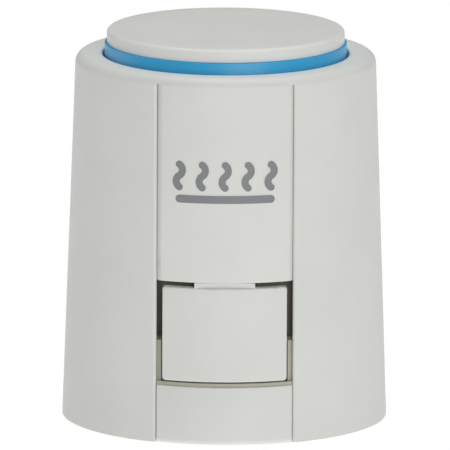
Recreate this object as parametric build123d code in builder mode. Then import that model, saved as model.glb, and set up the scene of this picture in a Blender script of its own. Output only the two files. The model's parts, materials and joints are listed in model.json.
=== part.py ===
from build123d import *

import os

os.makedirs("parts", exist_ok=True)

# Plug-on thermal actuator head for small heating valves, in millimetres.
# The valve axis is Z and the head stands on its base ring at Z = 0.
# The release button faces -Y and the cable inlet faces +Y.
# It is shown open: the display and the tappet are at the top of their stroke.

# ------------------------------------------------------------ driving dimensions

# Tapered casing
base_radius = 22.15
collar_height = 50.0
collar_outer_radius = 20.43
casing_wall = 1.6
collar_opening_radius = 16.8
collar_edge_radius = 1.3
foot_edge_radius = 0.7
collar_thickness = 1.8
skirt_wall = 1.2
skirt_low = 46.4
collar_lip_radius = 0.25
slot_edge_radius = 0.35

# Strip let into the casing's front
strip_half_width = 9.2
strip_clearance = 0.03
strip_top = 49.0
strip_depth = 2.0
strip_bevel_width = 0.9
strip_bevel_depth = 0.3
panel_edge_radius = 0.2
strip_low = 22.2
backing_half_width = 11.2
backing_low, backing_high = 24.5, 44.8
backing_depth = 2.8
foot_panel_high = 7.9
foot_panel_depth = 1.0

# Release button and its pivot
button_half_width = 8.42
button_low, button_high = 8.6, 21.45
button_corner_radius = 0.5
button_edge_radius = 0.25
button_plate = 1.2
button_rib_depth = 2.0
tab_half_width = 4.12
tab_recess = 0.5
tab_low, tab_high = 20.75, 22.12
pivot_y, pivot_z = -17.6, 22.9
pivot_eye_radius = 1.1
pivot_pin_radius = 0.6
pivot_pin_half_length = 6.9
lug_inner_x, lug_outer_x = 4.5, 6.5
lug_high = 24.6

# Base ring with the socket for the valve adapter
base_ring_radius = 20.0
foot_flange_radius = 20.4
foot_flange_height = 1.2
guide_bore_radius = 17.25
guide_bore_high = 6.8
guide_bore_chamfer = 0.5
head_bore_radius = 15.6
slide_bed = 7.5
base_rim_inner_radius = 18.9
base_rim_high = 10.9
front_notch_half_width = 8.6
front_notch_y = -17.7

# Latch slide and its bow spring
slide_low, slide_high = 7.6, 9.4
slide_radius = 18.2
slide_centre_y = -0.55
slide_hole_y = -1.0
tongue_half_width = 6.0
tongue_radius = 19.6
bow_radius = 24.9
bow_thickness = 0.4
bow_half_span = 10.0
bow_mid_y = 17.9

# Chassis
chassis_low = 9.5
chassis_radius = 18.7
floor_low, floor_high = 10.4, 12.6
chassis_rim_radius = 19.6
chassis_rim_inner_radius = 18.0
chassis_rim_high = 14.1
guide_tube_radius = 6.2
guide_tube_high = 13.8
post_inner_radius, post_outer_radius = 14.4, 17.6
post_half_width = 7.6
plate_low, plate_high = 34.0, 36.0
plate_radius = 17.5

# Screws that hold the thrust plate on the posts
screw_x, screw_y = 15.2, 4.5
screw_shank_radius = 1.1
screw_head_radius = 2.0
screw_head_height = 1.0
screw_length = 7.5

# Wax capsule and heater
capsule_radius = 6.0
capsule_low = 23.0
capsule_flange_radius = 7.4
capsule_flange_low, capsule_flange_high = 36.6, 37.6
wax_chamber_radius = 2.6
wax_chamber_low, wax_chamber_high = 26.0, 34.0
guide_shank_radius = 3.0
guide_head_high = 38.8
guide_hex_radius = 4.6
collar_insulator_radius = 7.6
plate_hole_radius = 6.6
heater_radius = 4.5
heater_low = 21.0

# Lift: piston, crosshead, arms, tappet
piston_radius = 2.0
piston_low = 34.6
crosshead_low, crosshead_high = 43.0, 45.0
arm_inner_x, arm_outer_x = 8.4, 10.3
arm_half_width = 2.6
arm_slot_clearance = 0.2
carriage_low, carriage_high = 18.0, 20.0
carriage_radius = 13.4
tappet_radius = 4.0
tappet_bore_radius = 4.3
tappet_spigot_radius = 2.5
tappet_head_radius = 5.0
tappet_head_low, tappet_head_high = 9.0, 10.2
pad_radius = 3.6
pad_low, pad_high = 8.6, 9.6
seal_groove_radius = 5.4
seal_low, seal_high = 11.2, 12.4

# Closing spring
spring_radius = 12.0
spring_wire_radius = 1.0
spring_pitch = 3.0
spring_ground = 0.6

# Function display
display_radius = 16.5
display_inner_radius = 15.3
display_low, display_high = 41.6, 51.5
web_low, web_high = 46.0, 47.2
web_boss_radius = 4.0
cap_radius = 16.2
cap_high = 53.4
cap_edge_radius = 0.6
cap_plug_depth = 2.0
cap_plug_wall = 1.0

# Cable inlet
hump_half_width = 9.0
hump_low, hump_high = 11.0, 26.0
hump_y = 26.25
hump_edge_radius = 2.6
hump_end_radius = 1.6
hump_blend_radius = 1.2
socket_half_width = 7.2
socket_low, socket_high = 12.8, 24.2
socket_front_y, socket_back_y = 18.3, 25.95
socket_opening_half_width = 5.2
socket_opening_low, socket_opening_high = 14.6, 22.6
socket_floor_y = 20.3
socket_clearance = 0.2
pin_x, pin_z = 2.5, 16.2
pin_radius = 0.6
pin_end_y = 24.6

# Contact strips
strip_metal = 0.4
contact_inner_x, contact_outer_x = 1.0, 4.0
contact_riser_y = 17.8
contact_run_z = 36.9
contact_drop_y = 8.2
contact_foot_z = 20.8
contact_low = 15.0
contact_bend_radius = 0.7
contact_disc_radius = 4.0

# Printed icon on the strip: heat waves over a bar
icon_low, icon_high = 33.1, 38.8
icon_thickness = 0.05
icon_bar_half_width = 6.7
icon_bar_height = 1.05
icon_wave_pitch = 3.1
icon_wave_count = 5
icon_wave_swing = 0.42
icon_stroke = 0.95

clearance = 0.02
stand = (Align.CENTER, Align.CENTER, Align.MIN)


# ------------------------------------------------------------ helpers

def casing_radius(height, depth=0.0):
    """Radius at a height of the surface that lies a depth under the casing's skin."""
    taper = (base_radius - collar_outer_radius) / collar_height
    return base_radius - taper * height - depth


def sleeve(low, high, outer_depth, inner_depth):
    """Tapered ring that follows the casing between two depths under its skin."""
    with BuildPart() as ring:
        with BuildSketch(Plane.XZ):
            with BuildLine():
                Polyline(
                    (casing_radius(low, inner_depth), low),
                    (casing_radius(low, outer_depth), low),
                    (casing_radius(high, outer_depth), high),
                    (casing_radius(high, inner_depth), high),
                    close=True,
                )
            make_face()
        revolve(axis=Axis.Z)
    return ring.part


def front_slice(low, high, outer_depth, inner_depth, half_width):
    """The front of such a ring, cut to a strip of the given half width."""
    whole = sleeve(low, high, outer_depth, inner_depth)
    with BuildPart() as strip:
        add(whole)
        with Locations((0, 0, low)):
            Box(
                2 * half_width,
                base_radius + 1,
                high - low,
                align=(Align.CENTER, Align.MAX, Align.MIN),
                mode=Mode.INTERSECT,
            )
    return strip.part


def disc(radius, low, high, mode=Mode.ADD):
    """Upright cylinder on the valve axis between two heights."""
    with Locations((0, 0, low)):
        Cylinder(radius, high - low, align=stand, mode=mode)


def block(x_limits, y_limits, z_limits, mode=Mode.ADD):
    """Box given by its limits along X, Y and Z."""
    (x0, x1), (y0, y1), (z0, z1) = x_limits, y_limits, z_limits
    with Locations((x0, y0, z0)):
        Box(x1 - x0, y1 - y0, z1 - z0, align=(Align.MIN, Align.MIN, Align.MIN), mode=mode)


# ------------------------------------------------------------ casing

with BuildPart() as housing_shell:
    with BuildSketch(Plane.XZ):
        with BuildLine():
            Polyline(
                (0, 0),
                (base_radius, 0),
                (collar_outer_radius, collar_height),
                (0, collar_height),
                close=True,
            )
        make_face()
        rim_corners = vertices().filter_by(lambda corner: corner.X > 1).sort_by(Axis.Y)
        fillet(rim_corners[-1], collar_edge_radius)
        fillet(rim_corners[0], foot_edge_radius)
    revolve(axis=Axis.Z)
    # Boss around the cable inlet
    block((-hump_half_width, hump_half_width), (0, hump_y), (hump_low, hump_high))
    fillet(housing_shell.edges().filter_by(Axis.Y), hump_edge_radius)
    hump_end = housing_shell.faces().sort_by(Axis.Y)[-1]
    fillet(hump_end.edges(), hump_end_radius)
    skin = housing_shell.faces().filter_by(GeomType.CONE).sort_by(SortBy.AREA)[-1]
    hump_foot = skin.edges().filter_by(
        lambda edge: edge.center().Y > base_radius / 2 and hump_low - 1 < edge.center().Z < hump_high + 1
    )
    fillet(hump_foot, hump_blend_radius)
    # Hollow inside, open at the foot and at the collar
    with BuildSketch(Plane.XZ):
        with BuildLine():
            Polyline(
                (0, -1),
                (casing_radius(-1, casing_wall), -1),
                (
                    casing_radius(collar_height - collar_thickness, casing_wall),
                    collar_height - collar_thickness,
                ),
                (0, collar_height - collar_thickness),
                close=True,
            )
        make_face()
    revolve(axis=Axis.Z, mode=Mode.SUBTRACT)
    disc(collar_opening_radius + skirt_wall, skirt_low, collar_height - collar_thickness)
    disc(collar_opening_radius, skirt_low - 1, collar_height + 1, mode=Mode.SUBTRACT)
    lip = housing_shell.faces().sort_by(Axis.Z)[-1].edges().sort_by(SortBy.RADIUS)[0]
    fillet(lip, collar_lip_radius)
    # Room for the cable socket in the boss
    block(
        (-socket_half_width - socket_clearance, socket_half_width + socket_clearance),
        (0, hump_y + 1),
        (socket_low - socket_clearance, socket_high + socket_clearance),
        mode=Mode.SUBTRACT,
    )
    # Slot in the front for the strip and the button, under the collar's rim
    block(
        (-strip_half_width, strip_half_width),
        (-base_radius - 1, -base_radius / 2),
        (-1, strip_top),
        mode=Mode.SUBTRACT,
    )
    slot_sides = housing_shell.faces().filter_by(Axis.X).sort_by(Axis.Y)[:2]
    slot_edges = slot_sides.edges().filter_by(
        lambda edge: edge.length > strip_top / 2
    ).sort_by(Axis.Y)[:2]
    fillet(slot_edges, slot_edge_radius)
housing_shell.part.label = "housing_shell"
export_step(housing_shell.part, "parts/housing_shell.step")

panel_skin = front_slice(
    strip_low, strip_top - strip_clearance, 0, strip_depth, strip_half_width - strip_clearance
)
panel_backing = front_slice(
    backing_low, backing_high, casing_wall + 0.06, backing_depth, backing_half_width
)
with BuildPart() as front_panel:
    add(panel_skin)
    # Shallow bevel down each long edge
    long_edges = front_panel.faces().filter_by(Axis.X).edges().filter_by(
        lambda edge: edge.length > 20
    ).sort_by(Axis.Y)[:2]
    chamfer(long_edges, strip_bevel_depth, strip_bevel_width)
    for end_face in (front_panel.faces().sort_by(Axis.Z)[-1], front_panel.faces().sort_by(Axis.Z)[0]):
        fillet(end_face.edges().sort_by(Axis.Y)[0], panel_edge_radius)
    add(panel_backing)
    # Lugs that carry the button's pivot pin
    for side in (-1, 1):
        block(
            sorted((side * lug_inner_x, side * lug_outer_x)),
            (-casing_radius(strip_low, strip_depth) + 0.2, pivot_y + pivot_eye_radius),
            (strip_low, lug_high),
        )
    with Locations(Location((0, pivot_y, pivot_z), (0, 90, 0))):
        Cylinder(pivot_pin_radius + clearance, 4 * lug_outer_x, mode=Mode.SUBTRACT)
front_panel.part.label = "front_panel"
export_step(front_panel.part, "parts/front_panel.step")

foot_skin = front_slice(
    0, foot_panel_high, 0, foot_panel_depth, strip_half_width - strip_clearance
)
with BuildPart() as foot_panel:
    add(foot_skin)
    fillet(foot_panel.faces().sort_by(Axis.Y)[0].edges().sort_by(Axis.Z)[-1], panel_edge_radius)
foot_panel.part.label = "foot_panel"
export_step(foot_panel.part, "parts/foot_panel.step")

# Icon: wavy lines over a bar, printed on the strip as a thin raised film
icon_film = front_slice(icon_low - 1, icon_high + 1, -icon_thickness, 0, strip_half_width)
wave_low = icon_low + icon_bar_height + 0.6 + icon_stroke / 2
wave_height = icon_high - icon_stroke / 2 - wave_low
with BuildSketch() as icon_outline:
    with Locations((0, icon_low + icon_bar_height / 2)):
        SlotOverall(2 * icon_bar_half_width, icon_bar_height)
    for index in range(icon_wave_count):
        wave_x = (index - (icon_wave_count - 1) / 2) * icon_wave_pitch
        for bend, swing in enumerate((-icon_wave_swing, icon_wave_swing)):
            bend_low = wave_low + bend * wave_height / 2
            bow = ThreePointArc(
                (wave_x, bend_low),
                (wave_x + swing, bend_low + wave_height / 4),
                (wave_x, bend_low + wave_height / 2),
                mode=Mode.PRIVATE,
            )
            SlotArc(bow, icon_stroke)
with BuildPart() as panel_icon:
    extrude(Plane.XZ * icon_outline.sketch, amount=base_radius + 1)
    add(icon_film, mode=Mode.INTERSECT)
panel_icon.part.label = "panel_icon"
export_step(panel_icon.part, "parts/panel_icon.step")

# ------------------------------------------------------------ release button

button_skin = front_slice(button_low, button_high, 0, button_plate, button_half_width)
button_push_pad = front_slice(
    button_low + 0.25,
    button_low + 1.45,
    button_plate / 2,
    button_rib_depth,
    tongue_half_width,
)
button_ribs = front_slice(
    button_low + 0.25, tab_low + 0.4, button_plate / 2, button_rib_depth, tab_half_width
)
with BuildPart() as button_face:
    add(button_skin)
    upright_edges = button_face.edges().filter_by(
        lambda edge: edge.length < 2 * button_plate
    )
    fillet(upright_edges, button_corner_radius)
    fillet(button_face.faces().sort_by(Axis.Y)[0].edges(), button_edge_radius)
with BuildPart() as release_button:
    add(button_push_pad)
    add(button_ribs)
    block(
        (-tab_half_width + 1, tab_half_width - 1),
        (-base_radius, front_notch_y),
        (button_low + 1.45, tab_low),
        mode=Mode.SUBTRACT,
    )
    add(button_face.part)
    # Tab that reaches back under the strip to the pivot pin
    block(
        (-tab_half_width, tab_half_width),
        (-casing_radius(button_high, tab_recess), pivot_y + pivot_eye_radius),
        (tab_low, tab_high),
    )
    block(
        (-tab_half_width, tab_half_width),
        (pivot_y - pivot_eye_radius, pivot_y + pivot_eye_radius),
        (tab_high, pivot_z),
    )
    with Locations(Location((0, pivot_y, pivot_z), (0, 90, 0))):
        Cylinder(pivot_eye_radius, 2 * tab_half_width)
        Cylinder(pivot_pin_radius + 2 * clearance, 4 * tab_half_width, mode=Mode.SUBTRACT)
release_button.part.label = "release_button"
export_step(release_button.part, "parts/release_button.step")

with BuildPart() as button_pivot_pin:
    with Locations(Location((0, pivot_y, pivot_z), (0, 90, 0))):
        Cylinder(pivot_pin_radius, 2 * pivot_pin_half_length)
    chamfer(button_pivot_pin.edges().filter_by(GeomType.CIRCLE), 0.15)
button_pivot_pin.part.label = "button_pivot_pin"
export_step(button_pivot_pin.part, "parts/button_pivot_pin.step")

# ------------------------------------------------------------ base and latch

ledge_low = foot_flange_height + 1.4
ledge_depth = casing_radius(foot_panel_high) - tongue_radius - 0.1
panel_ledge = front_slice(
    ledge_low,
    foot_panel_high - 0.05,
    foot_panel_depth + strip_clearance,
    ledge_depth,
    strip_half_width - 0.3,
)
with BuildPart() as base_ring:
    disc(foot_flange_radius, 0, foot_flange_height)
    disc(base_ring_radius, 0, base_rim_high)
    disc(base_rim_inner_radius, slide_bed, base_rim_high, mode=Mode.SUBTRACT)
    disc(head_bore_radius, 0, slide_bed, mode=Mode.SUBTRACT)
    disc(guide_bore_radius, 0, guide_bore_high, mode=Mode.SUBTRACT)
    mouth = base_ring.faces().sort_by(Axis.Z)[0].edges().sort_by(SortBy.RADIUS)[0]
    chamfer(mouth, guide_bore_chamfer)
    # Window behind the button, above a ledge that backs the foot panel
    block(
        (-front_notch_half_width, front_notch_half_width),
        (-base_radius, front_notch_y),
        (slide_bed, base_rim_high),
        mode=Mode.SUBTRACT,
    )
    add(panel_ledge)
base_ring.part.label = "base_ring"
export_step(base_ring.part, "parts/base_ring.step")

gasket_low = foot_flange_height
with BuildPart() as base_gasket:
    disc(casing_radius(gasket_low + 1.2, casing_wall) - clearance, gasket_low, gasket_low + 1.2)
    disc(base_ring_radius + clearance, gasket_low, gasket_low + 1.2, mode=Mode.SUBTRACT)
base_gasket.part.label = "base_gasket"
export_step(base_gasket.part, "parts/base_gasket.step")

with BuildPart() as latch_slide:
    with BuildSketch(Plane.XY.offset(slide_low)):
        Circle(tongue_radius)
        with Locations((0, -tongue_radius)):
            Rectangle(2 * tongue_half_width, tongue_radius, mode=Mode.INTERSECT)
        with Locations((0, slide_centre_y)):
            Circle(slide_radius)
        with Locations((0, slide_hole_y)):
            Circle(head_bore_radius, mode=Mode.SUBTRACT)
    extrude(amount=slide_high - slide_low)
    # Lead-in under the rear lip, so that the adapter pushes the slide aside
    underside = latch_slide.faces().sort_by(Axis.Z)[0]
    lip = underside.edges().filter_by(GeomType.CIRCLE).sort_by(SortBy.RADIUS)[0]
    chamfer(lip, 0.6)
latch_slide.part.label = "latch_slide"
export_step(latch_slide.part, "parts/latch_slide.step")

with BuildPart() as latch_spring:
    with BuildSketch(Plane.XY.offset(slide_low + 0.1)):
        with Locations((0, bow_mid_y - bow_radius)):
            Circle(bow_radius + bow_thickness / 2)
            Circle(bow_radius - bow_thickness / 2, mode=Mode.SUBTRACT)
        with Locations((0, bow_mid_y)):
            Rectangle(2 * bow_half_span, bow_mid_y, mode=Mode.INTERSECT)
    extrude(amount=slide_high - slide_low - 0.2)
latch_spring.part.label = "latch_spring"
export_step(latch_spring.part, "parts/latch_spring.step")

# ------------------------------------------------------------ chassis

with BuildPart() as chassis:
    disc(chassis_radius, chassis_low, floor_high)
    disc(head_bore_radius, chassis_low, floor_low, mode=Mode.SUBTRACT)
    disc(chassis_rim_radius, base_rim_high, chassis_rim_high)
    disc(chassis_rim_inner_radius, floor_high, chassis_rim_high, mode=Mode.SUBTRACT)
    disc(guide_tube_radius, floor_high, guide_tube_high)
    # Two posts, left and right, that carry the thrust plate
    with BuildSketch(Plane.XY.offset(floor_high)):
        Circle(post_outer_radius)
        Circle(post_inner_radius, mode=Mode.SUBTRACT)
        Rectangle(4 * post_outer_radius, 2 * post_half_width, mode=Mode.INTERSECT)
    extrude(amount=plate_low - floor_high)
    disc(tappet_bore_radius, floor_low - 1, guide_tube_high, mode=Mode.SUBTRACT)
    disc(seal_groove_radius, seal_low, seal_high, mode=Mode.SUBTRACT)
    # Window behind the button and room for the cable socket
    block(
        (-front_notch_half_width, front_notch_half_width),
        (-base_radius, front_notch_y),
        (chassis_low, chassis_rim_high),
        mode=Mode.SUBTRACT,
    )
    block(
        (-socket_half_width - socket_clearance, socket_half_width + socket_clearance),
        (chassis_rim_inner_radius / 2, base_radius),
        (floor_high, chassis_rim_high),
        mode=Mode.SUBTRACT,
    )
    with Locations((0, 0, plate_low - screw_length)):
        with GridLocations(2 * screw_x, 2 * screw_y, 2, 2):
            Cylinder(
                screw_shank_radius + clearance, screw_length, align=stand, mode=Mode.SUBTRACT
            )
chassis.part.label = "chassis"
export_step(chassis.part, "parts/chassis.step")

with BuildPart() as thrust_plate:
    disc(plate_radius, plate_low, plate_high)
    disc(plate_hole_radius, plate_low, plate_high, mode=Mode.SUBTRACT)
    for side in (-1, 1):
        block(
            sorted((side * (arm_inner_x - 0.2), side * (arm_outer_x + 0.2))),
            (-arm_half_width - arm_slot_clearance, arm_half_width + arm_slot_clearance),
            (plate_low, plate_high),
            mode=Mode.SUBTRACT,
        )
    block(
        (-contact_outer_x - 0.3, -contact_inner_x + 0.3),
        (contact_drop_y - 0.5, contact_drop_y + 0.5),
        (plate_low, plate_high),
        mode=Mode.SUBTRACT,
    )
    with Locations((0, 0, plate_low)):
        with GridLocations(2 * screw_x, 2 * screw_y, 2, 2):
            Cylinder(
                screw_shank_radius + 0.2, plate_high - plate_low, align=stand, mode=Mode.SUBTRACT
            )
thrust_plate.part.label = "thrust_plate"
export_step(thrust_plate.part, "parts/thrust_plate.step")

with BuildPart() as thrust_screws:
    with Locations((0, 0, plate_high)):
        with GridLocations(2 * screw_x, 2 * screw_y, 2, 2):
            Cylinder(screw_head_radius, screw_head_height, align=stand)
            Cylinder(
                screw_shank_radius,
                screw_length + 1,
                align=(Align.CENTER, Align.CENTER, Align.MAX),
            )
    # Cross slots in the heads
    with Locations((0, 0, plate_high + screw_head_height)):
        with GridLocations(2 * screw_x, 2 * screw_y, 2, 2):
            Box(2.4, 0.5, 1.0, mode=Mode.SUBTRACT)
            Box(0.5, 2.4, 1.0, mode=Mode.SUBTRACT)
thrust_screws.part.label = "thrust_screws"
export_step(thrust_screws.part, "parts/thrust_screws.step")

# ------------------------------------------------------------ wax drive

with BuildPart() as wax_capsule:
    disc(capsule_radius, capsule_low, capsule_flange_low)
    disc(capsule_flange_radius, capsule_flange_low, capsule_flange_high)
    disc(wax_chamber_radius, wax_chamber_low, wax_chamber_high, mode=Mode.SUBTRACT)
    disc(
        guide_shank_radius + clearance,
        wax_chamber_high,
        capsule_flange_high,
        mode=Mode.SUBTRACT,
    )
wax_capsule.part.label = "wax_capsule"
export_step(wax_capsule.part, "parts/wax_capsule.step")

with BuildPart() as piston_guide:
    disc(guide_shank_radius, wax_chamber_high, capsule_flange_high)
    with BuildSketch(Plane.XY.offset(capsule_flange_high)):
        RegularPolygon(guide_hex_radius, 6)
    extrude(amount=guide_head_high - capsule_flange_high)
    disc(piston_radius + 1.5 * clearance, wax_chamber_high, guide_head_high, mode=Mode.SUBTRACT)
piston_guide.part.label = "piston_guide"
export_step(piston_guide.part, "parts/piston_guide.step")

with BuildPart() as wax_piston:
    disc(piston_radius, piston_low, crosshead_low)
    chamfer(wax_piston.faces().sort_by(Axis.Z)[0].edges(), 0.4)
wax_piston.part.label = "wax_piston"
export_step(wax_piston.part, "parts/wax_piston.step")

with BuildPart() as capsule_collar:
    disc(collar_insulator_radius, plate_high, capsule_flange_low)
    disc(plate_hole_radius - clearance, plate_low - 0.8, plate_high)
    disc(
        capsule_radius + clearance, plate_low - 0.8, capsule_flange_low, mode=Mode.SUBTRACT
    )
capsule_collar.part.label = "capsule_collar"
export_step(capsule_collar.part, "parts/capsule_collar.step")

with BuildPart() as ptc_heater:
    disc(heater_radius, heater_low, capsule_low)
    chamfer(ptc_heater.edges().filter_by(GeomType.CIRCLE), 0.2)
ptc_heater.part.label = "ptc_heater"
export_step(ptc_heater.part, "parts/ptc_heater.step")

# ------------------------------------------------------------ lift

with BuildPart() as lift_frame:
    disc(carriage_radius, carriage_low, carriage_high)
    for side in (-1, 1):
        block(
            sorted((side * arm_inner_x, side * arm_outer_x)),
            (-arm_half_width, arm_half_width),
            (carriage_low, crosshead_low),
        )
    disc(tappet_spigot_radius + clearance, carriage_low, carriage_high, mode=Mode.SUBTRACT)
    # Pilot holes for the crosshead screws
    with Locations((0, 0, crosshead_low)):
        with GridLocations(arm_inner_x + arm_outer_x, 1, 2, 1):
            Cylinder(
                0.6 + clearance,
                4,
                align=(Align.CENTER, Align.CENTER, Align.MAX),
                mode=Mode.SUBTRACT,
            )
lift_frame.part.label = "lift_frame"
export_step(lift_frame.part, "parts/lift_frame.step")

with BuildPart() as crosshead:
    disc(5.5, crosshead_low, crosshead_high)
    block(
        (-arm_outer_x, arm_outer_x),
        (-arm_half_width, arm_half_width),
        (crosshead_low, crosshead_high),
    )
    disc(screw_shank_radius + clearance, crosshead_low + 0.4, crosshead_high, mode=Mode.SUBTRACT)
    with Locations((0, 0, crosshead_low)):
        with GridLocations(arm_inner_x + arm_outer_x, 1, 2, 1):
            Cylinder(0.7, crosshead_high - crosshead_low, align=stand, mode=Mode.SUBTRACT)
crosshead.part.label = "crosshead"
export_step(crosshead.part, "parts/crosshead.step")

with BuildPart() as crosshead_screws:
    with Locations((0, 0, crosshead_high)):
        with GridLocations(arm_inner_x + arm_outer_x, 1, 2, 1):
            Cylinder(1.3, 0.8, align=stand)
            Cylinder(0.6, 5.5, align=(Align.CENTER, Align.CENTER, Align.MAX))
    with Locations((0, 0, crosshead_high + 0.8)):
        with GridLocations(arm_inner_x + arm_outer_x, 1, 2, 1):
            Box(0.4, 1.8, 0.6, mode=Mode.SUBTRACT)
crosshead_screws.part.label = "crosshead_screws"
export_step(crosshead_screws.part, "parts/crosshead_screws.step")

with BuildPart() as tappet:
    disc(tappet_head_radius, tappet_head_low, tappet_head_high)
    disc(tappet_radius, tappet_head_high, carriage_low)
    disc(tappet_spigot_radius, carriage_low, carriage_high)
    disc(pad_radius, tappet_head_low, pad_high, mode=Mode.SUBTRACT)
tappet.part.label = "tappet"
export_step(tappet.part, "parts/tappet.step")

with BuildPart() as tappet_pad:
    disc(pad_radius - clearance, pad_low, pad_high)
    chamfer(tappet_pad.faces().sort_by(Axis.Z)[0].edges(), 0.2)
tappet_pad.part.label = "tappet_pad"
export_step(tappet_pad.part, "parts/tappet_pad.step")

with BuildPart() as tappet_seal:
    disc(seal_groove_radius - clearance, seal_low, seal_high)
    disc(tappet_radius + 2 * clearance, seal_low, seal_high, mode=Mode.SUBTRACT)
tappet_seal.part.label = "tappet_seal"
export_step(tappet_seal.part, "parts/tappet_seal.step")

with BuildPart() as closing_spring:
    coil_low = carriage_high + spring_wire_radius - spring_ground
    coil_high = plate_low - spring_wire_radius + spring_ground
    with BuildLine():
        coil = Helix(spring_pitch, coil_high - coil_low, spring_radius, center=(0, 0, coil_low))
    with BuildSketch(Plane(origin=coil @ 0, z_dir=coil % 0)):
        Circle(spring_wire_radius)
    sweep(is_frenet=True)
    # Ground flat at both ends
    block(
        (-spring_radius - 2, spring_radius + 2),
        (-spring_radius - 2, spring_radius + 2),
        (carriage_high, plate_low),
        mode=Mode.INTERSECT,
    )
closing_spring.part.label = "closing_spring"
export_step(closing_spring.part, "parts/closing_spring.step")

# ------------------------------------------------------------ function display

with BuildPart() as display_ring:
    disc(display_radius, display_low, display_high)
    disc(display_inner_radius, display_low, web_low, mode=Mode.SUBTRACT)
    disc(display_inner_radius, web_high, display_high, mode=Mode.SUBTRACT)
    disc(web_boss_radius, crosshead_high, web_low)
    disc(screw_shank_radius + 0.2, crosshead_high, web_high, mode=Mode.SUBTRACT)
display_ring.part.label = "display_ring"
export_step(display_ring.part, "parts/display_ring.step")

with BuildPart() as display_screw:
    disc(2.6, web_high, web_high + 1.2)
    disc(screw_shank_radius, crosshead_low + 0.4, web_high)
    with Locations((0, 0, web_high + 1.2)):
        Box(3.2, 0.6, 1.2, mode=Mode.SUBTRACT)
        Box(0.6, 3.2, 1.2, mode=Mode.SUBTRACT)
display_screw.part.label = "display_screw"
export_step(display_screw.part, "parts/display_screw.step")

with BuildPart() as display_cap:
    disc(cap_radius, display_high, cap_high)
    fillet(display_cap.faces().sort_by(Axis.Z)[-1].edges(), cap_edge_radius)
    disc(display_inner_radius - 0.05, display_high - cap_plug_depth, display_high)
    disc(
        display_inner_radius - cap_plug_wall,
        display_high - cap_plug_depth,
        display_high,
        mode=Mode.SUBTRACT,
    )
display_cap.part.label = "display_cap"
export_step(display_cap.part, "parts/display_cap.step")

with BuildPart() as display_seal:
    disc(collar_opening_radius + skirt_wall - 0.1, skirt_low - 1.2, skirt_low)
    disc(display_radius + 0.05, skirt_low - 1.2, skirt_low, mode=Mode.SUBTRACT)
display_seal.part.label = "display_seal"
export_step(display_seal.part, "parts/display_seal.step")

# ------------------------------------------------------------ electrical parts

with BuildPart() as cable_socket:
    block(
        (-socket_half_width, socket_half_width),
        (socket_front_y, socket_back_y),
        (socket_low, socket_high),
    )
    fillet(cable_socket.edges().filter_by(Axis.Y), 0.6)
    block(
        (-socket_opening_half_width, socket_opening_half_width),
        (socket_floor_y, socket_back_y),
        (socket_opening_low, socket_opening_high),
        mode=Mode.SUBTRACT,
    )
    with Locations(Location((0, socket_front_y, pin_z), (-90, 0, 0))):
        with GridLocations(2 * pin_x, 1, 2, 1):
            Cylinder(
                pin_radius + clearance,
                socket_floor_y - socket_front_y,
                align=stand,
                mode=Mode.SUBTRACT,
            )
cable_socket.part.label = "cable_socket"
export_step(cable_socket.part, "parts/cable_socket.step")

pin_start_y = contact_riser_y + strip_metal / 2
with BuildPart() as socket_pins:
    with Locations(Location((0, pin_start_y, pin_z), (-90, 0, 0))):
        with GridLocations(2 * pin_x, 1, 2, 1):
            Cylinder(pin_radius, pin_end_y - pin_start_y, align=stand)
    fillet(socket_pins.faces().filter_by(Axis.Y).sort_by(Axis.Y)[-2:].edges(), 0.3)
socket_pins.part.label = "socket_pins"
export_step(socket_pins.part, "parts/socket_pins.step")

with BuildPart() as line_contact:
    with BuildSketch(Plane.YZ.offset(-contact_outer_x)):
        with BuildLine() as route:
            FilletPolyline(
                (contact_riser_y, contact_low),
                (contact_riser_y, contact_run_z),
                (contact_drop_y, contact_run_z),
                (contact_drop_y, contact_foot_z),
                (0, contact_foot_z),
                radius=contact_bend_radius,
            )
        trace(route.line, line_width=strip_metal)
    extrude(amount=contact_outer_x - contact_inner_x)
    disc(contact_disc_radius, contact_foot_z - strip_metal / 2, contact_foot_z + strip_metal / 2)
line_contact.part.label = "line_contact"
export_step(line_contact.part, "parts/line_contact.step")

with BuildPart() as neutral_contact:
    with BuildSketch(Plane.YZ.offset(contact_inner_x)):
        with BuildLine() as route:
            FilletPolyline(
                (contact_riser_y, contact_low),
                (contact_riser_y, contact_run_z),
                (capsule_radius, contact_run_z),
                radius=contact_bend_radius,
            )
        trace(route.line, line_width=strip_metal)
    extrude(amount=contact_outer_x - contact_inner_x)
    disc(capsule_flange_radius + clearance, plate_high, capsule_flange_high, mode=Mode.SUBTRACT)
neutral_contact.part.label = "neutral_contact"
export_step(neutral_contact.part, "parts/neutral_contact.step")
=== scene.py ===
"""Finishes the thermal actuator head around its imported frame: shells, finishes and studio."""
import json
import logging
import math
from collections.abc import Callable, Sequence
from dataclasses import dataclass
from enum import Enum

import bmesh
import bpy
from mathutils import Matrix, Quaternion, Vector

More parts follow.
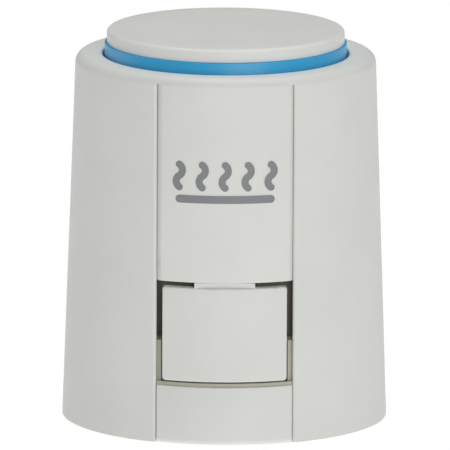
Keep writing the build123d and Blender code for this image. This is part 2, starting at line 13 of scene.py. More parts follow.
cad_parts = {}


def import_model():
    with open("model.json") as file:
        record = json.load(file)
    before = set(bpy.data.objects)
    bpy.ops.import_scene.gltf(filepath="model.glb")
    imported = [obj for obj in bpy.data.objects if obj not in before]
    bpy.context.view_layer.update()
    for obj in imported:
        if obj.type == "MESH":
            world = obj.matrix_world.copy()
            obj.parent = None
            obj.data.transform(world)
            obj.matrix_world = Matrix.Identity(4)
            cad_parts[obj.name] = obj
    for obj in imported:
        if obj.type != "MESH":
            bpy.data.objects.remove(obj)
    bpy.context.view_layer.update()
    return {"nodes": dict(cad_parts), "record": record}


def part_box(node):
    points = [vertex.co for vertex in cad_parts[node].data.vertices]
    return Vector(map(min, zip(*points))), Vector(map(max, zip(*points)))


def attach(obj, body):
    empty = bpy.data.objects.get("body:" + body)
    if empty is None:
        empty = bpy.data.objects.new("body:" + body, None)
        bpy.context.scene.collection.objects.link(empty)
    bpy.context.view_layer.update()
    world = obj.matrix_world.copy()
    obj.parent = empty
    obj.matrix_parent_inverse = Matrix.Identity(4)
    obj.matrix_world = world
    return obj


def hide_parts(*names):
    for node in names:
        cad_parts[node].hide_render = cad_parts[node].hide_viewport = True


logging.basicConfig(level=logging.INFO, format="%(name)s: %(message)s")
log = logging.getLogger("actuator_head")

MM = 0.001
SMOOTH_ANGLE = math.radians(32)
ROD_SIDES = 48
# Metres.
CUT_SLACK = 1e-7
MERGE_SLACK = 1e-6
# Millimetres.
NEAR = 0.01
SKIN_SLACK = 0.03


# ---------------------------------------------------------------- finishes


class Texture(Enum):
    """Surface character of a finish, which decides its bump pattern."""

    SPARK = "spark eroded plastic"
    PRINT = "printed ink"
    TURNED = "turned metal"
    ROLLED = "rolled metal"
    RUBBER = "moulded rubber"
    CERAMIC = "sintered ceramic"


# How far red, green and blue light bleed into the plastic, in metres.
BLEED = (0.0012, 0.0011, 0.0008)
DRIFT_SCALE, DRIFT_DETAIL = 90.0, 3.0
DRIFT_FROM, DRIFT_TO = 0.3, 0.7
PATCH_SCALE, PATCH_DETAIL = 220.0, 4.0
PATCH_SPREAD = 0.05
GRAIN_SCALE = {
    Texture.SPARK: 3600.0,
    Texture.PRINT: 6000.0,
    Texture.TURNED: 900.0,
    Texture.ROLLED: 700.0,
    Texture.RUBBER: 900.0,
    Texture.CERAMIC: 1500.0,
}
GRAIN_DETAIL = 5.0
WAVE_DISTORTION = {Texture.TURNED: 1.5, Texture.ROLLED: 6.0}
BUMP_STRENGTH = 0.5


@dataclass(frozen=True)
class Finish:
    """One moulded, turned or printed finish.

    Attributes:
        name: Name of the finish; its material's name is finish_ and this.
        slot: The record's material slot that it dresses.
        colour: Linear base colour.
        roughness: Middle of the roughness range.
        texture: Bump pattern.
        metallic: 1 for metals, 0 for plastics.
        scatter: How far light bleeds into the plastic, as a share.
        mottle: How much the colour drifts over the surface.
        grain: Height of the fine bump in metres.
        gloss: Specular level of the surface.
    """

    name: str
    slot: str
    colour: tuple[float, float, float]
    roughness: float
    texture: Texture = Texture.SPARK
    metallic: float = 0.0
    scatter: float = 0.0
    mottle: float = 0.02
    grain: float = 0.000006
    gloss: float = 0.5

    def material(self) -> bpy.types.Material:
        """Build the node material, once.

        Returns:
            The material, shared by every piece with this finish.
        """
        label = f"finish_{self.name}"
        made = bpy.data.materials.get(label)
        if made:
            return made
        made = bpy.data.materials.new(label)
        made.use_nodes = True
        nodes, links = made.node_tree.nodes, made.node_tree.links
        shader = nodes["Principled BSDF"]
        shader.inputs["Metallic"].default_value = self.metallic
        shader.inputs["Specular IOR Level"].default_value = self.gloss
        shader.inputs["Subsurface Weight"].default_value = self.scatter
        shader.inputs["Subsurface Radius"].default_value = BLEED
        shader.inputs["Subsurface Scale"].default_value = 1.0
        place = nodes.new("ShaderNodeTexCoord")
        self._colour(nodes, links, place, shader)
        self._roughness(nodes, links, place, shader)
        self._bump(nodes, links, place, shader)
        return made

    def _colour(
        self,
        nodes: bpy.types.Nodes,
        links: bpy.types.NodeLinks,
        place: bpy.types.Node,
        shader: bpy.types.Node,
    ) -> None:
        """Let the colour drift slightly over the surface.

        Args:
            nodes: The material's nodes.
            links: The material's links.
            place: Texture coordinate node.
            shader: The material's shader.
        """
        cloud = nodes.new("ShaderNodeTexNoise")
        cloud.inputs["Scale"].default_value = DRIFT_SCALE
        cloud.inputs["Detail"].default_value = DRIFT_DETAIL
        ramp = nodes.new("ShaderNodeValToRGB")
        low = tuple(channel * (1 - self.mottle) for channel in self.colour)
        high = tuple(min(1.0, channel * (1 + self.mottle)) for channel in self.colour)
        ramp.color_ramp.elements[0].color = (*low, 1.0)
        ramp.color_ramp.elements[0].position = DRIFT_FROM
        ramp.color_ramp.elements[1].color = (*high, 1.0)
        ramp.color_ramp.elements[1].position = DRIFT_TO
        links.new(place.outputs["Object"], cloud.inputs["Vector"])
        links.new(cloud.outputs["Fac"], ramp.inputs["Fac"])
        links.new(ramp.outputs["Color"], shader.inputs["Base Color"])

    def _roughness(
        self,
        nodes: bpy.types.Nodes,
        links: bpy.types.NodeLinks,
        place: bpy.types.Node,
        shader: bpy.types.Node,
    ) -> None:
        """Vary the roughness in soft patches, as handling and moulding leave it.

        Args:
            nodes: The material's nodes.
            links: The material's links.
            place: Texture coordinate node.
            shader: The material's shader.
        """
        patch = nodes.new("ShaderNodeTexNoise")
        patch.inputs["Scale"].default_value = PATCH_SCALE
        patch.inputs["Detail"].default_value = PATCH_DETAIL
        spread = nodes.new("ShaderNodeMapRange")
        spread.inputs["To Min"].default_value = self.roughness - PATCH_SPREAD
        spread.inputs["To Max"].default_value = self.roughness + PATCH_SPREAD
        links.new(place.outputs["Object"], patch.inputs["Vector"])
        links.new(patch.outputs["Fac"], spread.inputs["Value"])
        links.new(spread.outputs["Result"], shader.inputs["Roughness"])

    def _bump(
        self,
        nodes: bpy.types.Nodes,
        links: bpy.types.NodeLinks,
        place: bpy.types.Node,
        shader: bpy.types.Node,
    ) -> None:
        """Add the fine grain of the finish.

        Args:
            nodes: The material's nodes.
            links: The material's links.
            place: Texture coordinate node.
            shader: The material's shader.
        """
        if self.texture in WAVE_DISTORTION:
            pattern = nodes.new("ShaderNodeTexWave")
            pattern.inputs["Distortion"].default_value = WAVE_DISTORTION[self.texture]
        else:
            pattern = nodes.new("ShaderNodeTexNoise")
            pattern.inputs["Detail"].default_value = GRAIN_DETAIL
        if self.texture is Texture.TURNED:
            pattern.wave_type = "RINGS"
            pattern.rings_direction = "Z"
        pattern.inputs["Scale"].default_value = GRAIN_SCALE[self.texture]
        bump = nodes.new("ShaderNodeBump")
        bump.inputs["Strength"].default_value = BUMP_STRENGTH
        bump.inputs["Distance"].default_value = self.grain
        links.new(place.outputs["Object"], pattern.inputs["Vector"])
        links.new(pattern.outputs["Fac"], bump.inputs["Height"])
        links.new(bump.outputs["Normal"], shader.inputs["Normal"])


CASING_WHITE = Finish(
    "casing_white", "casing_white", (0.778, 0.788, 0.755), 0.48, scatter=0.05, gloss=0.3
)
DISPLAY_WHITE = Finish(
    "display_white", "casing_white", (0.85, 0.85, 0.82), 0.4, scatter=0.06, gloss=0.3
)
PRINT_GREY = Finish("print_grey", "print_grey", (0.252, 0.26, 0.263), 0.5, Texture.PRINT)
DISPLAY_BLUE = Finish("display_blue", "display_blue", (0.045, 0.43, 0.79), 0.36)
NATURAL = Finish("natural_plastic", "natural_plastic", (0.64, 0.58, 0.44), 0.45, scatter=0.08)
# Painted shade: a darker copy of the natural plastic for the guides and ledge, standing for the
# shade in the gaps beside and under the button.
GUIDE_PAINTED_SHADE = Finish("guide_painted_shade", "natural_plastic", (0.53, 0.505, 0.41), 0.5, scatter=0.06)
# Painted shade: dark brown for the cream inner plates seen in shade through the gaps beside the
# button's upper half.
CHEEK_PAINTED_SHADE = Finish("cheek_painted_shade", "dark_plastic", (0.25, 0.23, 0.185), 0.6)
DARK = Finish("dark_plastic", "dark_plastic", (0.035, 0.035, 0.037), 0.5)
RUBBER = Finish("moulded_rubber", "rubber", (0.012, 0.012, 0.012), 0.75, Texture.RUBBER)
STEEL = Finish("plated_steel", "steel", (0.52, 0.52, 0.53), 0.34, Texture.ROLLED, metallic=1.0)
SPRING = Finish("spring_wire", "spring_steel", (0.4, 0.4, 0.41), 0.3, Texture.ROLLED, metallic=1.0)
BRASS = Finish("turned_brass", "brass", (0.6, 0.42, 0.16), 0.28, Texture.TURNED, metallic=1.0)
TINNED = Finish("tinned_brass", "tinned_brass", (0.6, 0.59, 0.55), 0.3, Texture.ROLLED, 1.0)
CERAMIC = Finish("heater_ceramic", "heater_ceramic", (0.25, 0.23, 0.2), 0.6, Texture.CERAMIC)

FINISHES = {
    finish.slot: finish
    for finish in (
        CASING_WHITE, PRINT_GREY, DISPLAY_BLUE, NATURAL, DARK, RUBBER, STEEL, SPRING, BRASS,
        TINNED, CERAMIC,
    )
}


# ---------------------------------------------------------------- bench tools


class Pick(Enum):
    """What a selection in edit mode is made of."""

    VERT = "VERT"
    EDGE = "EDGE"


def box_mm(node: str) -> tuple[Vector, Vector]:
    """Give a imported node's box in millimetres.

    Args:
        node: Name of the node.

    Returns:
        Its lowest and highest corners.
    """
    low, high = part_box(node)
    return Vector(low) / MM, Vector(high) / MM


def clear_bench() -> None:
    """Go to object mode with nothing selected."""
    if bpy.context.mode != "OBJECT":
        bpy.ops.object.mode_set(mode="OBJECT")
    bpy.ops.object.select_all(action="DESELECT")


def take(piece: bpy.types.Object) -> None:
    """Make one piece the only selected and the active one.

    Args:
        piece: The piece to work on.
    """
    clear_bench()
    piece.select_set(True)
    bpy.context.view_layer.objects.active = piece


def start(name: str) -> bpy.types.Object:
    """Name the primitive just added, settle its place and open it for editing.

    Args:
        name: Name of the new piece.

    Returns:
        The piece, in edit mode with all of it selected.
    """
    piece = bpy.context.object
    piece.name = piece.data.name = name
    bpy.ops.object.transform_apply(location=True, rotation=True, scale=True)
    bpy.ops.object.mode_set(mode="EDIT")
    bpy.ops.mesh.select_all(action="SELECT")
    return piece


def pick(
    piece: bpy.types.Object,
    kind: Pick,
    test: Callable[[Vector], bool],
    sharper_than: float = 0.0,
) -> int:
    """Select the elements whose corners all pass a test.

    Args:
        piece: The piece, in edit mode.
        kind: Points or edges.
        test: Takes a corner's place in millimetres.
        sharper_than: For edges, the least angle between their faces in degrees.

    Returns:
        How many elements are selected.
    """
    bpy.ops.mesh.select_mode(type=kind.value)
    bpy.ops.mesh.select_all(action="DESELECT")
    shape = bmesh.from_edit_mesh(piece.data)
    items = {Pick.VERT: shape.verts, Pick.EDGE: shape.edges}[kind]
    count = 0
    for item in items:
        corners = [item] if kind is Pick.VERT else item.verts
        if not all(test(corner.co / MM) for corner in corners):
            continue
        if sharper_than and item.calc_face_angle(0.0) < math.radians(sharper_than):
            continue
        item.select_set(True)
        count += 1
    shape.select_flush_mode()
    bmesh.update_edit_mesh(piece.data)
    return count


def soften(
    piece: bpy.types.Object,
    test: Callable[[Vector], bool],
    width: float,
    steps: int = 3,
    sharper_than: float = 35.0,
    fullness: float = 0.5,
) -> None:
    """Round the sharp edges that pass a test.

    Args:
        piece: The piece, in edit mode.
        test: Takes a corner's place in millimetres.
        width: Width of the rounding in millimetres.
        steps: Number of faces across it.
        sharper_than: Least angle between the edge's faces in degrees.
        fullness: 0.5 for a round, 0.25 for a flat slope.
    """
    if pick(piece, Pick.EDGE, test, sharper_than):
        bpy.ops.mesh.bevel(
            offset=width * MM,
            segments=steps,
            profile=fullness,
            affect="EDGES",
            clamp_overlap=True,
        )


def slice_off(place: Sequence[float], normal: Sequence[float]) -> None:
    """Cut the piece being edited along a plane and close the cut with a face.

    Args:
        place: A point of the plane in millimetres.
        normal: Direction that the removed side lies in, of length 1.
    """
    bpy.ops.mesh.select_all(action="SELECT")
    bpy.ops.mesh.bisect(
        plane_co=tuple(value * MM for value in place),
        plane_no=tuple(normal),
        use_fill=True,
        clear_outer=True,
        threshold=CUT_SLACK,
    )


def close_up() -> None:
    """Merge what coincides in the piece being edited and turn its faces outwards."""
    bpy.ops.mesh.select_mode(type="VERT")
    bpy.ops.mesh.select_all(action="SELECT")
    bpy.ops.mesh.remove_doubles(threshold=MERGE_SLACK)
    bpy.ops.mesh.normals_make_consistent(inside=False)


def turn(
    name: str, profile: Sequence[tuple[float, float]], segments: int = 160
) -> bpy.types.Object:
    """Make a turned piece by extruding and scaling a ring about the valve axis.

    Args:
        name: Name of the piece.
        profile: Radius and height pairs in millimetres, which end where they began or on the
            axis.
        segments: Number of faces round the piece.

    Returns:
        The piece, in edit mode.
    """
    clear_bench()
    radius, height = profile[0]
    bpy.ops.mesh.primitive_circle_add(
        vertices=segments, radius=radius * MM, location=(0, 0, height * MM)
    )
    piece = start(name)
    for next_radius, next_height in profile[1:]:
        rise = (0, 0, (next_height - height) * MM)
        bpy.ops.mesh.extrude_region_move(TRANSFORM_OT_translate={"value": rise})
        scale = next_radius / radius
        if scale != 1:
            bpy.ops.transform.resize(value=(scale, scale, 1), center_override=(0, 0, 0))
        radius, height = next_radius, next_height
    close_up()
    return piece


def block(
    name: str, x: tuple[float, float], y: tuple[float, float], z: tuple[float, float]
) -> bpy.types.Object:
    """Start a piece from a cube between limits in millimetres.

    Args:
        name: Name of the piece.
        x: Lowest and highest X.
        y: Lowest and highest Y.
        z: Lowest and highest Z.

    Returns:
        The piece, in edit mode.
    """
    clear_bench()
    limits = (x, y, z)
    bpy.ops.mesh.primitive_cube_add(
        size=1,
        location=[(low + high) / 2 * MM for low, high in limits],
        scale=[(high - low) * MM for low, high in limits],
    )
    return start(name)


def rod(name: str, radius: float, half_length: float, y: float, z: float) -> bpy.types.Object:
    """Start a round bar that lies along X.

    Args:
        name: Name of the piece.
        radius: Its radius in millimetres.
        half_length: Half its length in millimetres.
        y: Y of its axis in millimetres.
        z: Z of its axis in millimetres.

    Returns:
        The piece, in edit mode.
    """
    clear_bench()
    bpy.ops.mesh.primitive_cylinder_add(
        vertices=ROD_SIDES,
        radius=radius * MM,
        depth=2 * half_length * MM,
        location=(0, y * MM, z * MM),
        rotation=(0, math.pi / 2, 0),
    )
    return start(name)


def combine(piece: bpy.types.Object, tool: bpy.types.Object, operation: str) -> None:
    """Join a tool to a piece or cut it away, and remove the tool.

    Args:
        piece: The piece that stays.
        tool: The piece that is used up.
        operation: UNION or DIFFERENCE.
    """
    take(piece)
    bpy.ops.object.modifier_add(type="BOOLEAN")
    modifier = piece.modifiers[-1]
    modifier.operation = operation
    modifier.solver = "EXACT"
    modifier.object = tool
    bpy.ops.object.modifier_apply(modifier=modifier.name)
    take(tool)
    bpy.ops.object.delete()


def hand_over(
    piece: bpy.types.Object, finish: Finish, body: str, stands_for: Sequence[str]
) -> None:
    """Shade and dress a finished piece and put it on its body.

    Args:
        piece: The piece.
        finish: Its finish.
        body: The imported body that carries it.
        stands_for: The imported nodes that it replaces.
    """
    take(piece)
    bpy.ops.object.shade_smooth_by_angle(angle=SMOOTH_ANGLE)
    clear_bench()
    piece.data.materials.clear()
    piece.data.materials.append(finish.material())
    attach(piece, body)
    if stands_for:
        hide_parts(*stands_for)
    log.info("%s: %d faces on %s", piece.name, len(piece.data.polygons), body)


# ---------------------------------------------------------------- sub-assemblies


@dataclass(frozen=True)
class Taper:
    """The casing's tapered skin, in millimetres.

    Attributes:
        foot_radius: Radius at the foot.
        rim_radius: Radius at the collar's rim.
        rim_height: Height of the collar's rim.
        segments: Columns round the skin, chosen so that no cut falls on a column's edge.
    """

    foot_radius: float = 22.15
    rim_radius: float = 20.43
    rim_height: float = 50.0
    segments: int = 92

    def radius(self, height: float, depth: float = 0.0) -> float:
        """Give the skin's radius.

        Args:
            height: Height above the foot.
            depth: Distance under the skin.

        Returns:
            The radius at that height and depth.
        """
        slope = (self.foot_radius - self.rim_radius) / self.rim_height
        return self.foot_radius - slope * height - depth

    def front_wall(
        self, name: str, z: tuple[float, float], depth: tuple[float, float], half_width: float
    ) -> bpy.types.Object:
        """Make a piece of the tapered wall at the front.

        Args:
            name: Name of the piece.
            z: Its lowest and highest heights.
            depth: Depths of its outer and inner faces under the skin.
            half_width: Half its width.

        Returns:
            The piece, in edit mode.
        """
        (low, high), (outer, inner) = z, depth
        corners = [
            (self.radius(low, outer), low),
            (self.radius(high, outer), high),
            (self.radius(high, inner), high),
            (self.radius(low, inner), low),
            (self.radius(low, outer), low),
        ]
        piece = turn(name, corners, self.segments)
        slice_off((0, -self.rim_radius / 2, 0), (0, 1, 0))
        for side in (-1, 1):
            slice_off((side * half_width, 0, 0), (side, 0, 0))
        close_up()
        return piece

    def on_skin(self, corner: Vector) -> bool:
        """Tell whether a corner lies on the skin.

        Args:
            corner: Its place in millimetres.

        Returns:
            True where it does.
        """
        return corner.xy.length > self.radius(corner.z) - SKIN_SLACK


TAPER = Taper()


@dataclass
class DisplayHead:
    """The round display that rises out of the collar: a blue band and a white crown.

    Attributes:
        crown_rise: How far the crown's middle stands above its rim.
        dome: Shares of the radius and of the rise, for the rings between rim and middle.
        crown_edge: Rounding of the crown's upper edge.
        crown_foot: Rounding of the crown's lower edge.
        band_wall: Thickness of the band.
        band_edge: Rounding of the band's edges.
        web: Lowest and highest heights of the band's web.
        boss: Radius and lowest height of the web's boss.
        bore: Radius of the boss's screw hole.
        plug: Outer and inner radius of the crown's plug.
        plug_depth: How deep the plug reaches into the band.
        plug_edge: Rounding of the plug's end.
        boss_edge: Rounding of the boss's end.
    """

    crown_rise: float = 0.12
    dome: tuple[tuple[float, float], ...] = ((0.72, 0.55), (0.4, 0.14))
    crown_edge: float = 0.55
    crown_foot: float = 0.12
    band_wall: float = 1.2
    band_edge: float = 0.12
    web: tuple[float, float] = (46.0, 47.2)
    boss: tuple[float, float] = (4.0, 45.0)
    bore: float = 1.3
    plug: tuple[float, float] = (15.25, 14.3)
    plug_depth: float = 2.0
    plug_edge: float = 0.15
    boss_edge: float = 0.2

    def build(self) -> None:
        """Make the crown and the band."""
        self._crown()
        self._band()

    def _crown(self) -> None:
        """Turn the crown with its slight dome and the plug that holds it in the band."""
        low, high = box_mm("display_cap")
        radius = high.x
        outer, inner = self.plug
        seat = low.z + self.plug_depth
        rim = high.z - self.crown_rise
        profile = [
            (inner, seat),
            (inner, low.z),
            (outer, low.z),
            (outer, seat),
            (radius, seat),
            (radius, rim),
            *((radius * out, high.z - self.crown_rise * fall) for out, fall in self.dome),
            (0, high.z),
        ]
        piece = turn("display_crown", profile)
        pick(
            piece,
            Pick.VERT,
            lambda at: abs(at.z - seat) < NEAR and at.xy.length < inner + NEAR,
        )
        bpy.ops.mesh.edge_face_add()
        close_up()
        soften(piece, lambda at: abs(at.z - rim) < NEAR, self.crown_edge, steps=6)
        soften(
            piece,
            lambda at: abs(at.z - seat) < NEAR and at.xy.length > radius - NEAR,
            self.crown_foot,
            steps=2,
        )
        soften(piece, lambda at: abs(at.z - low.z) < NEAR, self.plug_edge, steps=2)
        hand_over(piece, DISPLAY_WHITE, "lift", ["display_cap"])

    def _band(self) -> None:
        """Turn the band with the web and boss that carry it on the crosshead."""
        low, high = box_mm("display_ring")
        outer = high.x
        inner = outer - self.band_wall
        web_low, web_high = self.web
        boss_radius, boss_low = self.boss
        profile = [
            (outer, low.z),
            (outer, high.z),
            (inner, high.z),
            (inner, web_high),
            (self.bore, web_high),
            (self.bore, boss_low),
            (boss_radius, boss_low),
            (boss_radius, web_low),
            (inner, web_low),
            (inner, low.z),
            (outer, low.z),
        ]
        piece = turn("display_band", profile)
        soften(piece, lambda at: at.xy.length > inner - NEAR, self.band_edge, steps=2)
        soften(
            piece,
            lambda at: at.xy.length < boss_radius + NEAR and at.z < web_low - NEAR,
            self.boss_edge,
            steps=2,
        )
        hand_over(piece, DISPLAY_BLUE, "lift", ["display_ring"])


@dataclass
class FrontStrip:
    """The strip let into the casing above the button, and the short one below it.

    Attributes:
        wall: Thickness of the upper strip.
        long_edge: Width of the slope down each long edge.
        long_fullness: How round that slope is.
        top_gap: Clearance that the upper end closes.
        end_edge: Rounding of the other ends.
        backing_z: Heights of the plate behind the strip.
        backing_depth: Its depths under the skin.
        backing_half_width: Half its width.
        lug_x: Inner and outer X of the pivot lugs.
        lug_top: Height of the lugs.
        lug_lap: Distance of the lugs' front from the front of the wall's inner face.
        lug_edge: Rounding of the lugs.
        eye: Radius of the lugs' depth behind the pivot.
        hole: Radius of the pivot's hole.
        foot_wall: Thickness of the lower strip.
        foot_edge: Rounding of the lower strip's foot.
        foot_side_edge: Rounding of the lower strip's sides.
    """

    wall: float = 2.0
    long_edge: float = 0.68
    long_fullness: float = 0.3
    top_gap: float = 0.03
    end_edge: float = 0.2
    backing_z: tuple[float, float] = (24.5, 44.8)
    backing_depth: tuple[float, float] = (1.66, 2.8)
    backing_half_width: float = 11.2
    lug_x: tuple[float, float] = (4.5, 6.5)
    lug_top: float = 24.6
    lug_lap: float = 0.2
    lug_edge: float = 0.35
    eye: float = 1.1
    hole: float = 0.62
    foot_wall: float = 1.0
    foot_edge: float = 0.65
    foot_side_edge: float = 0.1

    def build(self) -> None:
        """Make the upper and the lower strip."""
        self._upper()
        self._lower()

    def _upper(self) -> None:
        """Make the upper strip with its backing plate and pivot lugs."""
        low, high = box_mm("front_panel")
        top, bottom = high.z + self.top_gap, low.z
        half_width = box_mm("foot_panel")[1].x
        pin_low, pin_high = box_mm("button_pivot_pin")
        pivot = (pin_low + pin_high) / 2
        strip = TAPER.front_wall("front_strip", (bottom, top), (0, self.wall), half_width)
        soften(
            strip,
            lambda at: TAPER.on_skin(at) and abs(abs(at.x) - half_width) < NEAR,
            self.long_edge,
            steps=4,
            fullness=self.long_fullness,
        )
        soften(strip, lambda at: abs(at.z - bottom) < NEAR and TAPER.on_skin(at), self.end_edge)
        backing = TAPER.front_wall(
            "strip_backing", self.backing_z, self.backing_depth, self.backing_half_width
        )
        combine(strip, backing, "UNION")
        for side in (-1, 1):
            x = sorted(side * value for value in self.lug_x)
            y = (self.lug_lap - TAPER.radius(bottom, self.wall), pivot.y + self.eye)
            lug = block("strip_lug", tuple(x), y, (bottom, self.lug_top))
            soften(lug, lambda at: at.y > pivot.y, self.lug_edge)
            combine(strip, lug, "UNION")
        drill = rod("strip_drill", self.hole, 2 * self.lug_x[1], pivot.y, pivot.z)
        combine(strip, drill, "DIFFERENCE")
        hand_over(strip, CASING_WHITE, "housing", ["front_panel"])

    def _lower(self) -> None:
        """Make the short strip between the button and the foot."""
        low, high = box_mm("foot_panel")
        z = (low.z, high.z)
        piece = TAPER.front_wall("foot_strip", z, (0, self.foot_wall), high.x)
        soften(piece, lambda at: abs(at.z - high.z) < NEAR and TAPER.on_skin(at), self.end_edge)
        soften(
            piece,
            lambda at: abs(at.z - low.z) < NEAR and TAPER.on_skin(at),
            self.foot_edge,
            steps=5,
        )
        soften(
            piece,
            lambda at: abs(abs(at.x) - high.x) < NEAR and TAPER.on_skin(at),
            self.foot_side_edge,
            steps=2,
        )
        hand_over(piece, CASING_WHITE, "housing", ["foot_panel"])


@dataclass
class ButtonWell:
    """What shows through the gaps round the button: guides, ledge and cheeks, in darker colours
    that paint the shade inside the gaps.

    Attributes:
        guide_x: Inner and outer X of the guides beside the button's foot.
        guide_z: Their lowest and highest heights.
        guide_depth: Their depths under the skin.
        ledge_half_width: Half the width of the ledge under the button.
        ledge_z: Its lowest and highest heights.
        ledge_depth: Its depths under the skin.
        cheek_x: Inner and outer X of the cheeks behind the button's sides.
        cheek_z: Their lowest and highest heights.
        cheek_depth: Their depths under the skin.
        edge: Rounding of the upper edges.
    """

    guide_x: tuple[float, float] = (8.56, 9.17)
    guide_z: tuple[float, float] = (8.3, 13.9)
    guide_depth: tuple[float, float] = (0.9, 1.4)
    ledge_half_width: float = 9.17
    ledge_z: tuple[float, float] = (7.92, 8.38)
    ledge_depth: tuple[float, float] = (0.3, 0.7)
    cheek_x: tuple[float, float] = (4.3, 10.6)
    cheek_z: tuple[float, float] = (13.6, 22.1)
    cheek_depth: tuple[float, float] = (2.6, 3.2)
    edge: float = 0.1

    def build(self) -> None:
        """Make the guides with the ledge, and the cheeks, whose darker finishes are painted shade.
        """
        ledge = TAPER.front_wall(
            "button_ledge", self.ledge_z, self.ledge_depth, self.ledge_half_width
        )
        soften(ledge, lambda at: abs(at.z - self.ledge_z[1]) < NEAR, self.edge, steps=2)
        guides = self._pair("button_guides", self.guide_x, self.guide_z, self.guide_depth)
        self._join("button_guides", [ledge, *guides], GUIDE_PAINTED_SHADE)
        cheeks = self._pair("button_cheeks", self.cheek_x, self.cheek_z, self.cheek_depth)
        self._join("button_cheeks", cheeks, CHEEK_PAINTED_SHADE)

    def _pair(
        self,
        name: str,
        x: tuple[float, float],
        z: tuple[float, float],
        depth: tuple[float, float],
    ) -> list[bpy.types.Object]:
        """Make an upright plate on either side.

        Args:
            name: Name of the plates.
            x: Inner and outer X.
            z: Lowest and highest heights.
            depth: Depths under the skin.

        Returns:
            The left and the right plate.
        """
        plates = []
        for side in (-1, 1):
            plate = TAPER.front_wall(name, z, depth, x[1])
            slice_off((side * x[0], 0, 0), (-side, 0, 0))
            close_up()
            soften(plate, lambda at: abs(at.z - z[1]) < NEAR, self.edge, steps=2)
            plates.append(plate)
        return plates

    def _join(self, name: str, plates: list[bpy.types.Object], finish: Finish) -> None:
        """Make one piece of several plates and hand it over.

        Args:
            name: Name of the piece.
            plates: The plates.
            finish: Its finish.
        """
        clear_bench()
        for plate in plates:
            plate.select_set(True)
        bpy.context.view_layer.objects.active = plates[0]
        bpy.ops.object.join()
        plates[0].name = plates[0].data.name = name
        hand_over(plates[0], finish, "housing", [])


# ---------------------------------------------------------------- studio


@dataclass(frozen=True)
class Lamp:
    """One soft lamp that looks at the head.

    Attributes:
        name: Its name.
        azimuth: Its direction round the head in degrees, 0 at the front and 90 at the right.
        height: Its direction above the horizon in degrees.
        size: Side of its square in metres.
        power: Its power in watts.
        reach: Its distance in metres.
    """

    name: str
    azimuth: float
    height: float
    size: float
    power: float
    reach: float = 1.0

    def hang(self, aim: Vector) -> None:
        """Hang the lamp.

        Args:
            aim: The point that it looks at.
        """
        data = bpy.data.lights.new(self.name, "AREA")
        data.size = self.size
        data.energy = self.power
        lamp = bpy.data.objects.new(self.name, data)
        turn_by, rise = math.radians(self.azimuth), math.radians(self.height)
        way = Vector((
            math.sin(turn_by) * math.cos(rise), -math.cos(turn_by) * math.cos(rise),
            math.sin(rise),
        ))
        lamp.location = way * self.reach + aim
        lamp.rotation_euler = (-way).to_track_quat("-Z", "Y").to_euler()
        bpy.context.scene.collection.objects.link(lamp)


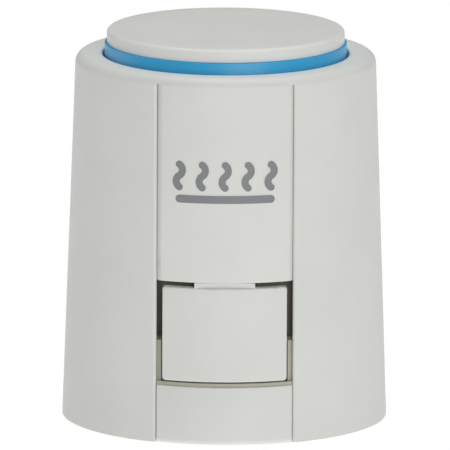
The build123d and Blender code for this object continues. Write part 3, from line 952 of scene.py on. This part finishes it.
@dataclass
class Studio:
    """Floor, lights and camera.

    Attributes:
        elevation: Camera height above the horizon, in degrees.
        distance: Camera distance in metres.
        view_width: Width of the picture at the object, in metres.
        aim_height: Height that the picture's centre looks at, in metres.
        roll: Tilt of the camera about its own axis, in degrees.
        sensor: Width of the camera's sensor in millimetres.
        clip: Nearest and farthest distance that the camera sees, in metres.
        surround: Strength of the even white light round the scene.
        lamps: The lamps: a key at the right front, one above and a faint one at the left.
        floor_size: Side of the square floor in metres.
        floor_drop: Gap between the head and the floor, in metres.
        floor_colour: Colour of the floor.
        floor_roughness: Roughness of the floor.
        floor_glow: Strength of the floor's own light, as of a light table.
    """

    elevation: float = 11.3
    distance: float = 2.0
    view_width: float = 0.0614
    aim_height: float = 0.026
    roll: float = 0.25
    sensor: float = 36.0
    clip: tuple[float, float] = (0.1, 20.0)
    surround: float = 0.1
    lamps: tuple[Lamp, ...] = (
        Lamp("key", 18.0, 20.0, 0.6, 3.2),
        Lamp("top", 180.0, 80.0, 0.8, 6.7),
        Lamp("edge", -115.0, 10.0, 0.4, 0.6),
    )
    floor_size: float = 6.0
    floor_drop: float = 0.0002
    floor_colour: tuple[float, float, float] = (0.3, 0.3, 0.3)
    floor_roughness: float = 0.9
    floor_glow: float = 0.79

    def build(self) -> None:
        """Make everything that isn't part of the object."""
        bpy.context.scene.view_settings.view_transform = "Standard"
        self._floor()
        self._world()
        for lamp in self.lamps:
            lamp.hang(Vector((0, 0, self.aim_height)))
        self._camera()

    def _floor(self) -> None:
        """Lay a pale, faintly lit floor under the head, clear from below."""
        clear_bench()
        bpy.ops.mesh.primitive_plane_add(size=self.floor_size, location=(0, 0, -self.floor_drop))
        floor = bpy.context.object
        floor.name = "floor"
        paper = bpy.data.materials.new("floor_paper")
        paper.use_nodes = True
        nodes, links = paper.node_tree.nodes, paper.node_tree.links
        shader = nodes["Principled BSDF"]
        shader.inputs["Base Color"].default_value = (*self.floor_colour, 1)
        shader.inputs["Roughness"].default_value = self.floor_roughness
        shader.inputs["Emission Color"].default_value = (1, 1, 1, 1)
        shader.inputs["Emission Strength"].default_value = self.floor_glow
        clear = nodes.new("ShaderNodeBsdfTransparent")
        side = nodes.new("ShaderNodeNewGeometry")
        mix = nodes.new("ShaderNodeMixShader")
        links.new(side.outputs["Backfacing"], mix.inputs["Fac"])
        links.new(shader.outputs["BSDF"], mix.inputs[1])
        links.new(clear.outputs["BSDF"], mix.inputs[2])
        links.new(mix.outputs["Shader"], nodes["Material Output"].inputs["Surface"])
        floor.data.materials.append(paper)

    def _world(self) -> None:
        """Surround the scene with white that shows fully but lights only a little."""
        world = bpy.data.worlds.new("studio_white")
        world.use_nodes = True
        back = world.node_tree.nodes["Background"]
        back.inputs["Color"].default_value = (1, 1, 1, 1)
        seen = world.node_tree.nodes.new("ShaderNodeLightPath")
        level = world.node_tree.nodes.new("ShaderNodeMapRange")
        level.inputs["To Min"].default_value = self.surround
        level.inputs["To Max"].default_value = 1.0
        world.node_tree.links.new(seen.outputs["Is Camera Ray"], level.inputs["Value"])
        world.node_tree.links.new(level.outputs["Result"], back.inputs["Strength"])
        bpy.context.scene.world = world

    def _camera(self) -> None:
        """Set the camera at the front, a little above, with a long lens."""
        data = bpy.data.cameras.new("camera")
        data.sensor_width = self.sensor
        data.lens = data.sensor_width * self.distance / self.view_width
        data.clip_start, data.clip_end = self.clip
        camera = bpy.data.objects.new("camera", data)
        rise = math.radians(self.elevation)
        back = Vector((0, -math.cos(rise), math.sin(rise)))
        target = Vector((0, 0, self.aim_height))
        camera.location = target + back * self.distance
        turn_back = (-back).to_track_quat("-Z", "Y")
        camera.rotation_mode = "QUATERNION"
        tilt = Quaternion((0, 0, 1), math.radians(self.roll))
        camera.rotation_quaternion = turn_back @ tilt
        bpy.context.scene.collection.objects.link(camera)
        bpy.context.scene.camera = camera


def dress_frame(frame: dict) -> None:
    """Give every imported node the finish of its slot.
    """
    for entry in frame["record"]["subparts"]:
        node = frame["nodes"][entry["node"]]
        finish = FINISHES[entry["material_slot"]]
        node.data.materials.clear()
        node.data.materials.append(finish.material())


def main() -> None:
    """Build the finished head and the studio around it."""
    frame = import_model()
    dress_frame(frame)
    DisplayHead().build()
    FrontStrip().build()
    ButtonWell().build()
    Studio().build()


if __name__ == "__main__":
    main()
